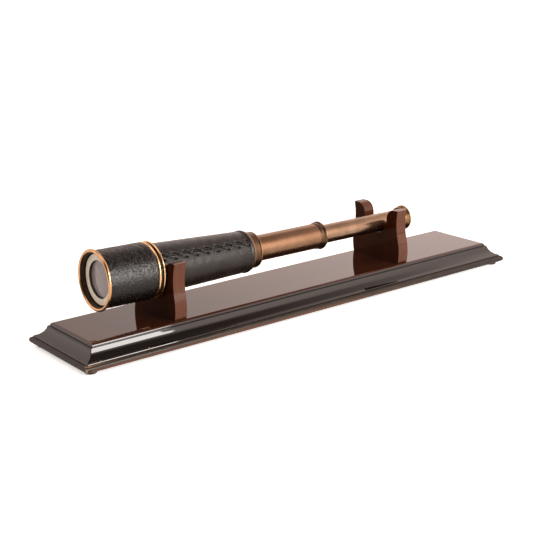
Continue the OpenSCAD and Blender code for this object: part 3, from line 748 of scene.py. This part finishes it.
def dew_shade():
    """The rolled bezel, the leather sleeve and its rear ring, and the barrel's ring behind them."""
    x0, x1, inner, outer = reach("front_bezel", BARREL)
    sheet, bead = BEZEL_SHEET, BEZEL_BEAD
    centre = (x0 + bead, outer - bead)
    profile = arc_points(centre, bead, 12, 300, 30)
    lip = centre[0] + 1.05 * MM
    throat = [profile[-1], (lip, centre[1] - bead), (lip, inner), (x1, inner)]
    profile += rounded(throat, 0.25 * MM, 4, False)[1:]
    profile += [(x1, inner + sheet), (lip + sheet, inner + sheet), (lip + sheet, centre[1])]
    piece = lathe("rolled_bezel", BARREL, profile, [ROSE, UMBER_AND_GAP_SHADE],
                  lambda x, r: 1 if r < centre[1] - 0.9 * bead else 0, 192)
    stands_for(piece, "front_bezel")

    x0, x1, inner, outer = reach("shade_leather", BARREL)
    skin_of_leather(x0, x1, inner, outer)

    x0, x1, inner, outer = reach("shade_end_ring", BARREL)
    half = SHADE_RING_BEAD
    foot = outer - RING_FOOT
    profile = arc_points((x0 + half, outer - half), half, 180, 0, 24)
    profile += [(x0 + 2 * half, foot), (x1, foot), (x1, inner), (x0, inner)]
    # The foot behind the bead is umber: painted shade in the gap between the rings
    piece = lathe("shade_rear_ring", BARREL, profile, [GOLD, UMBER_AND_GAP_SHADE],
                  lambda x, r: 1 if x > x0 + 2 * half else 0, 192)
    stands_for(piece, "shade_end_ring")

    x0, x1, inner, outer = reach("barrel_front_ring", BARREL)
    neck = NOSE_NECK
    half = (x1 - x0 - neck) / 2
    foot = outer - RING_FOOT
    profile = [(x0, inner), (x0, foot), (x0 + neck, foot)]
    profile += arc_points((x0 + neck + half, outer - half), half, 180, 0, 20) + [(x1, inner)]
    # The neck before the bead is umber: painted shade in the gap between the rings
    piece = lathe("barrel_nose_ring", BARREL, profile, [GOLD, UMBER_AND_GAP_SHADE],
                  lambda x, r: 1 if x < x0 + neck else 0, 192)
    stands_for(piece, "barrel_front_ring")


def swell_waves(seed, count, longest, most):
    """Seeded waves along and round a sleeve, for swell()."""
    rng = random.Random(seed)
    return [(rng.uniform(2, longest), rng.randint(1, most), rng.uniform(0, 6.28)) for _ in range(count)]


def swell(waves, t, angle):
    """Mean of the waves, from -1 to 1, at a share of the length and an angle."""
    heights = [math.sin(along * 6.28 * t + turns * angle + lead) for along, turns, lead in waves]
    return sum(heights) / len(waves)


def sleeve_faces(rows, around):
    """Faces of a thick sleeve: rings of its outside from end to end, then one inner ring at each end."""
    faces = []
    for i in range(rows):
        for k in range(around):
            a, b = i * around + k, i * around + (k + 1) % around
            faces.append((a, b, b + around, a + around))
    last = rows * around
    first = last + around
    for k in range(around):
        n = (k + 1) % around
        faces.append((first + k, first + n, n, k))
        faces.append((last + k, last + n, first + around + n, first + around + k))
        faces.append((first + around + k, first + around + n, first + n, first + k))
    return faces


def skin_of_leather(x0, x1, inner, outer):
    """Leather round the dew shade: rounded pebbles between creases, with edges turned in at both rings."""
    rows, around = 150, 460
    waves = swell_waves(4, 10, 9, 7)
    noise.seed_set(4)  # without it, noise_vector follows the clock
    vertices, lit_crown = [], []
    for i in range(rows + 1):
        t = i / rows
        station = x0 + (x1 - x0) * t
        edge = min(t, 1 - t) * (x1 - x0)
        tuck = 0.55 * MM * math.exp(-edge / (0.7 * MM))
        for k in range(around):
            angle = 2 * math.pi * k / around
            across = Vector((0, outer * math.sin(angle), outer * math.cos(angle)))
            at = (Vector((station, 0, 0)) + across) / PEBBLE
            near, middles = noise.voronoi(at)
            crown = min(1.0, (near[1] - near[0]) / 0.45)
            crown = crown * crown * (3 - 2 * crown)
            lean = noise.noise_vector(middles[0] * 5.3).dot(at - middles[0]) * PEBBLE_LEAN
            radius = outer - tuck + SHADE_SWELL * (swell(waves, t, angle) - 1)
            radius += PEBBLE_HEIGHT * (crown - 1) + lean * crown
            vertices.append(BARREL @ Vector((station, radius * math.sin(angle), radius * math.cos(angle))))
            # The crown share also sets the colour, darker in the creases: painted shade
            lit_crown.append(crown)
    for station in (x0, x1):
        for k in range(around):
            angle = 2 * math.pi * k / around
            vertices.append(BARREL @ Vector((station, inner * math.sin(angle), inner * math.cos(angle))))
            lit_crown.append(0.0)
    piece = new_piece("dew_shade_leather", vertices, sleeve_faces(rows, around), [PEBBLED], 80)
    mark_points(piece.data, "lit_crown", lit_crown)
    stands_for(piece, "shade_leather")


# ---------------------------------------------------------------- objective


def objective():
    """The cell's face and the front lens."""
    x0, x1, inner, outer = reach("objective_cell", BARREL)
    glass_x0, _, _, glass_r = reach("crown_lens", BARREL)
    lip_r = inner + 0.7 * MM
    seat = glass_x0 + 0.7 * MM
    profile = [(seat, inner), (x0 + 1.0 * MM, inner + 0.15 * MM), (x0 + 0.55 * MM, inner + 0.3 * MM),
               (x0 + 0.25 * MM, lip_r - 0.15 * MM), (x0 + 0.12 * MM, lip_r + 0.1 * MM),
               (x0 + 0.1 * MM, outer - 0.75 * MM), (x0, outer - 0.45 * MM),
               (x0 + 0.15 * MM, outer - 0.12 * MM), (x0 + 0.7 * MM, outer), (x1, outer), (x1, glass_r),
               (seat, glass_r)]

    def pick(x, r):
        """Cream on the face, copper on its lip, and black behind and inside; inside the lip the black is also
        painted shade.
        """
        if x < x0 + 0.35 * MM and r > lip_r - 0.25 * MM:
            return 0 if r > lip_r else 1
        return 2

    piece = lathe("cell_face", BARREL, profile, [CREAM, COPPER, BLACK], pick, 192)
    stands_for(piece, "objective_cell")
    lens("front_lens", BARREL, "crown_lens", 190 * MM, 150 * MM)


def lens(name, axis, node, front_r, back_r):
    """A lens with two true spherical faces, both bowed out and given a clear polish, and a ground edge."""
    x0, x1, _, radius = reach(node, axis)
    rings, around = 28, 128
    radii = [radius * i / rings for i in range(1, rings + 1)]

    def sag(face, r):
        return face - math.sqrt(face * face - r * r)

    outline = [(x0 + sag(front_r, r), r) for r in radii]
    outline += [(x1 - sag(back_r, r), r) for r in reversed(radii)]
    vertices = [axis @ Vector((x0, 0, 0)), axis @ Vector((x1, 0, 0))]
    for k in range(around):
        angle = 2 * math.pi * k / around
        vertices += [axis @ Vector((x, r * math.sin(angle), r * math.cos(angle))) for x, r in outline]
    count = len(outline)
    faces = []
    for k in range(around):
        here, there = 2 + k * count, 2 + (k + 1) % around * count
        faces.append((0, there, here))
        faces.append((1, here + count - 1, there + count - 1))
        faces += [(here + i, there + i, there + i + 1, here + i + 1) for i in range(count - 1)]
    piece = new_piece(name, vertices, faces, [GLASS])
    face_outwards(piece)
    stands_for(piece, node)


# ---------------------------------------------------------------- the barrel's leather and its laced seam

# The seam's place round the barrel, and the threads that lace it
SEAM_TURN = math.radians(50)
LACE_HALF = 3.0 * MM
LACE_R = 0.48 * MM
LACE_OVER = 0.72 * MM
LACE_UNDER = 0.05 * MM
LACE_DIVE = 1.5 * MM
CROSSINGS = 8
# The leather: its butted slit, the fullness gathered between threads, and the dimple at each hole
LEATHER_THICK = 1.0 * MM
BARREL_SWELL = 0.10 * MM
SLIT_WIDE = 0.45 * MM
SLIT_DEEP = 0.6 * MM
GATHER_WIDE = 2.0 * MM
GATHER_HIGH = 0.55 * MM
DRAWN_IN = 0.16 * MM
HOLE_LONG = 1.7 * MM
HOLE_WIDE = 1.15 * MM
HOLE_DEEP = 0.9 * MM


def barrel_skin():
    """The tapered leather with its laced seam, and the welt that ends it."""
    x0, x1, _, front_r = reach("barrel_leather", BARREL)
    back = BARREL.inverted()
    rear = [back @ v.co for v in NODES["barrel_leather"].data.vertices]
    rear_r = max(math.hypot(p.y, p.z) for p in rear if p.x > x1 - 0.2 * MM)
    seam_x0, seam_x1 = x0 + 3.0 * MM, x1 - 5.5 * MM
    pitch = (seam_x1 - seam_x0) / CROSSINGS

    def radius_at(x):
        return front_r + (rear_r - front_r) * (x - x0) / (x1 - x0)

    def lace_phase(x):
        return math.pi * (x - seam_x0) / pitch

    def relief(x, across):
        """Height of the leather over its plain cone, and how dark it is, near the seam."""
        if not seam_x0 - 3 * MM < x < seam_x1 + 3 * MM or abs(across) > 9 * MM:
            return 0.0, 0.0
        slit = math.exp(-(across / SLIT_WIDE) ** 2)
        height, dark = -SLIT_DEEP * slit, 0.9 * slit
        swing = math.cos(lace_phase(x))
        fullness = math.exp(-(across / GATHER_WIDE) ** 2) * swing * swing
        height += GATHER_HIGH * fullness * (1 - slit)
        beyond = max(0.0, abs(across) - LACE_HALF)
        pull = math.exp(-beyond / (2.2 * MM)) * min(1.0, beyond / (0.6 * MM))
        height -= DRAWN_IN * swing * swing * pull
        hole_x = seam_x0 + round(lace_phase(x) / math.pi) * pitch
        for sign in (-1, 1):
            gap = math.hypot((x - hole_x) / HOLE_LONG, (across - sign * LACE_HALF) / HOLE_WIDE)
            dimple = math.exp(-gap * gap)
            height -= HOLE_DEEP * dimple
            dark = max(dark, min(1.0, 1.6 * dimple))
        return height, min(dark, 1.0)

    rows = 210
    angles = seam_dense_angles(240)
    vertices, shade = [], []
    waves = swell_waves(9, 12, 14, 6)
    for i in range(rows + 1):
        t = i / rows
        x = x0 + (x1 - x0) * t
        plain = radius_at(x)
        edge = min(x - x0, x1 - x)
        tuck = 0.35 * MM * math.exp(-edge / (0.5 * MM))
        for angle in angles:
            across = (angle - SEAM_TURN) * plain
            height, dark = relief(x, across)
            radius = plain + height - tuck + BARREL_SWELL * (swell(waves, t, angle) - 0.8)
            vertices.append(on_barrel(x, radius, angle))
            shade.append(dark)
    for x in (x0, x1):
        for angle in angles:
            vertices.append(on_barrel(x, radius_at(x) - LEATHER_THICK, angle))
            shade.append(0.0)
    piece = new_piece("barrel_leather_skin", vertices, sleeve_faces(rows, len(angles)), [HIDE], 60)
    mark_points(piece.data, "shaded", shade)
    stands_for(piece, "barrel_leather")
    lacing(seam_x0, pitch, radius_at)
    rear_welt(rear_r)


def on_barrel(x, radius, angle):
    """A point at a station and radius, at an angle from the top towards -Y."""
    return BARREL @ Vector((x, -radius * math.sin(angle), radius * math.cos(angle)))


def seam_dense_angles(count):
    """Angles round the barrel, half of them within 22 degrees of the seam."""
    near = math.radians(22)
    dense = [SEAM_TURN - near + 2 * near * k / (count // 2) for k in range(count // 2)]
    rest = count - len(dense)
    start, span = SEAM_TURN + near, 2 * math.pi - 2 * near
    return dense + [start + span * k / rest for k in range(rest)]


def tube_along(points, radius, sides, ups):
    """Vertices and faces of a closed tube through points, with its first side towards ups."""
    vertices, faces = [], []
    count = len(points)
    for i, (point, up) in enumerate(zip(points, ups)):
        ahead = (points[min(i + 1, count - 1)] - points[max(i - 1, 0)]).normalized()
        side = ahead.cross(up).normalized()
        rise = side.cross(ahead)
        shrink = 0.35 if i in (0, count - 1) else 1.0
        for k in range(sides):
            angle = 2 * math.pi * k / sides
            vertices.append(point + shrink * radius * (side * math.cos(angle) + rise * math.sin(angle)))
    for i in range(count - 1):
        for k in range(sides):
            a, b = i * sides + k, i * sides + (k + 1) % sides
            faces.append((a, b, b + sides, a + sides))
    faces.append(tuple(reversed(range(sides))))
    faces.append(tuple((count - 1) * sides + k for k in range(sides)))
    return vertices, faces


def lacing(seam_x0, pitch, radius_at):
    """Two waxed threads that cross over the seam and dive into the leather at each hole."""
    vertices, faces = [], []
    steps = 26
    for strand in (-1, 1):
        for leg in range(CROSSINGS):
            points, ups = [], []
            for k in range(steps + 1):
                t = k / steps
                x = seam_x0 + pitch * (leg + t)
                sweep = math.cos(math.pi * t)
                start_side = strand * (1 if leg % 2 == 0 else -1)
                width = 1.15 * sweep if abs(sweep) < 0.87 else math.copysign(1, sweep)
                across = start_side * LACE_HALF * width
                crossing = LACE_OVER if (start_side > 0) == (leg % 2 == 0) else LACE_UNDER
                lift = LACE_R * 0.9 + crossing * math.exp(-((t - 0.5) / 0.12) ** 2)
                dive = LACE_DIVE * (math.exp(-(t / 0.05) ** 2) + math.exp(-((1 - t) / 0.05) ** 2))
                bulge = 0.25 * MM * sweep * sweep * math.exp(-(across / GATHER_WIDE) ** 2)
                angle = SEAM_TURN + across / radius_at(x)
                points.append(on_barrel(x, radius_at(x) + lift - dive + bulge, angle))
                ups.append((on_barrel(x, 1.0, angle) - on_barrel(x, 0.0, angle)).normalized())
            strand_vertices, strand_faces = tube_along(points, LACE_R, 10, ups)
            first = len(vertices)
            vertices += strand_vertices
            faces += [tuple(first + v for v in face) for face in strand_faces]
    piece = new_piece("crossed_lacing", vertices, faces, [THREAD])
    stands_for(piece, "seam_lacing")


def rear_welt(rear_r):
    """The rolled edge behind the leather, down to the leather's rear radius."""
    x0, x1, inner, outer = reach("leather_welt", BARREL)
    span = x1 - x0
    profile = [(x0, inner + 0.08 * MM), (x0 + 0.10 * span, inner + 0.40 * MM),
               (x0 + 0.25 * span, outer - 0.22 * MM), (x0 + 0.42 * span, outer - 0.04 * MM),
               (x0 + 0.60 * span, outer), (x0 + 0.76 * span, outer - 0.08 * MM),
               (x0 + 0.90 * span, outer - 0.36 * MM), (x1 - 0.10 * MM, outer - 0.62 * MM),
               (x1, rear_r + 0.02 * MM), (x0 + 0.5 * span, rear_r - 0.10 * MM), (x0, inner - 0.05 * MM)]
    piece = lathe("rolled_leather_edge", BARREL, rounded(profile, 0.3 * MM, 3), [HIDE])
    stands_for(piece, "leather_welt")


# ---------------------------------------------------------------- the barrel's brass end


def barrel_end():
    """The thin brass edge, the dark collar and the bead at the barrel's rear."""
    x0, x1, inner, outer = reach("barrel_end_band", BARREL)
    profile = [(x0, inner), (x0, outer - 0.2 * MM), (x0 + 0.5 * MM, outer),
               (x1 - 0.5 * MM, outer - 0.1 * MM), (x1, outer - 0.5 * MM), (x1, inner)]
    piece = lathe("thin_brass_edge", BARREL, rounded(profile, 0.15 * MM, 3), [CUP])
    stands_for(piece, "barrel_end_band")

    band_x1 = x1
    x0, x1, inner, _ = reach("barrel_end_collar", BARREL)
    bead_x0, bead_x1, bead_in, bead_out = reach("collar_bead", BARREL)
    groove = bead_x0 - 0.6 * MM
    groove_end = bead_x0 - 0.02 * MM
    shelf = band_x1 + 0.02 * MM
    skirt = inner + 4.0 * MM
    collar_r = bead_out
    groove_r = collar_r - 0.7 * MM
    profile = [(x0, inner), (x0, skirt), (shelf, skirt), (shelf, collar_r + 0.25 * MM),
               (shelf + 0.7 * MM, collar_r + 0.30 * MM), (shelf + 1.3 * MM, collar_r + 0.05 * MM),
               (groove - 0.3 * MM, collar_r), (groove, collar_r - 0.2 * MM),
               (groove + 0.1 * MM, groove_r), (groove_end, groove_r), (groove_end, inner)]
    piece = lathe("copper_collar", BARREL, rounded(profile, 0.2 * MM, 4), [COPPER])
    stands_for(piece, "barrel_end_collar")

    half = (bead_x1 - bead_x0) / 2
    profile = arc_points((bead_x0 + half, bead_out - half), half, 180, 0, 20)
    foot = [(bead_x1, bead_out - half), (bead_x1, bead_in), (bead_x0, bead_in)]
    profile += rounded(foot, 0.25 * MM, 3, False)[1:]
    stands_for(lathe("gold_collar_bead", BARREL, profile, [CUP]), "collar_bead")


# ---------------------------------------------------------------- the draws


def draws():
    """Both draw tubes, and the first draw's collar and bead."""
    tubes = (("draw_1_tube", "first_draw", DRAW), ("draw_2_tube", "second_draw", DRAW_PALE))
    for node, name, paint in tubes:
        x0, x1, inner, outer = reach(node, DRAWS)
        profile = rounded([(x0, inner), (x0, outer), (x1, outer), (x1, inner)], 0.2 * MM, 3)
        middle = (inner + outer) / 2
        piece = lathe(name, DRAWS, profile, [paint, BLACK], lambda x, r: 0 if r > middle else 1)
        stands_for(piece, node)

    x0, x1, inner, outer = reach("draw_1_collar", DRAWS)
    tube_r = reach("draw_1_tube", DRAWS)[3]
    rim = 0.35 * MM
    profile = [(x0, tube_r), (x0, outer - 0.12 * MM), (x0 + rim, outer), (x1, outer), (x1, inner),
               (x1 - rim, inner), (x1 - rim, tube_r)]
    piece = lathe("draw_collar_sleeve", DRAWS, rounded(profile, 0.12 * MM, 3), [COPPER])
    stands_for(piece, "draw_1_collar")

    x0, x1, inner, outer = reach("draw_1_bead", DRAWS)
    span = x1 - x0
    crown = 0.46 * span
    profile = [(x0, inner), (x0, outer - 1.0 * MM)]
    profile += arc_points((x0 + crown, outer - 1.2 * MM), 1.2 * MM, 150, 25, 12)
    profile += [(x0 + 0.74 * span, outer - 1.05 * MM), (x0 + 0.78 * span, outer - 0.92 * MM),
                (x0 + 0.86 * span, outer - 0.88 * MM), (x0 + 0.94 * span, outer - 1.1 * MM),
                (x1, outer - 1.5 * MM), (x1 - 0.1 * MM, outer - 2.0 * MM),
                (x1 - 0.25 * MM, inner + 0.3 * MM), (x1 - 0.25 * MM, inner)]
    piece = lathe("draw_collar_bead", DRAWS, profile, [COPPER, CUP],
                  lambda x, r: 1 if x > x0 + 0.76 * span else 0, 176)
    stands_for(piece, "draw_1_bead")


def eyepiece():
    """The ring and the flared cup at the eye end."""
    x0, x1, inner, outer = reach("eyepiece_ring", DRAWS)
    half = (x1 - x0) / 2
    profile = arc_points((x0 + half, outer - half), half, 180, 0, 18) + [(x1, inner), (x0, inner)]
    stands_for(lathe("eyepiece_knurl_ring", DRAWS, profile, [DRAW]), "eyepiece_ring")

    x0, x1, inner, outer = reach("eye_cup", DRAWS)
    throat = 10.2 * MM
    profile = [(x0, inner), (x0, inner + 0.5 * MM), (x0 + 0.5 * MM, inner + 0.75 * MM),
               (x1 - 2.6 * MM, outer - 1.0 * MM), (x1 - 2.2 * MM, outer - 0.75 * MM)]
    profile += arc_points((x1 - 1.15 * MM, outer - 1.15 * MM), 1.15 * MM, 160, -30, 20)
    profile += [(x1 - 1.9 * MM, throat), (x0 + 1.6 * MM, throat), (x0 + 1.6 * MM, inner)]
    piece = lathe("flared_eye_cup", DRAWS, profile, [CUP, DULL],
                  lambda x, r: 1 if r < throat + 0.4 * MM else 0, 176)
    stands_for(piece, "eye_cup")


# ---------------------------------------------------------------- build

paint_frame()
base_board()
bead_board()
cradle("front_cradle", "front_cradle_board")
cradle("rear_cradle", "rear_cradle_board")
dew_shade()
objective()
barrel_skin()
barrel_end()
draws()
eyepiece()
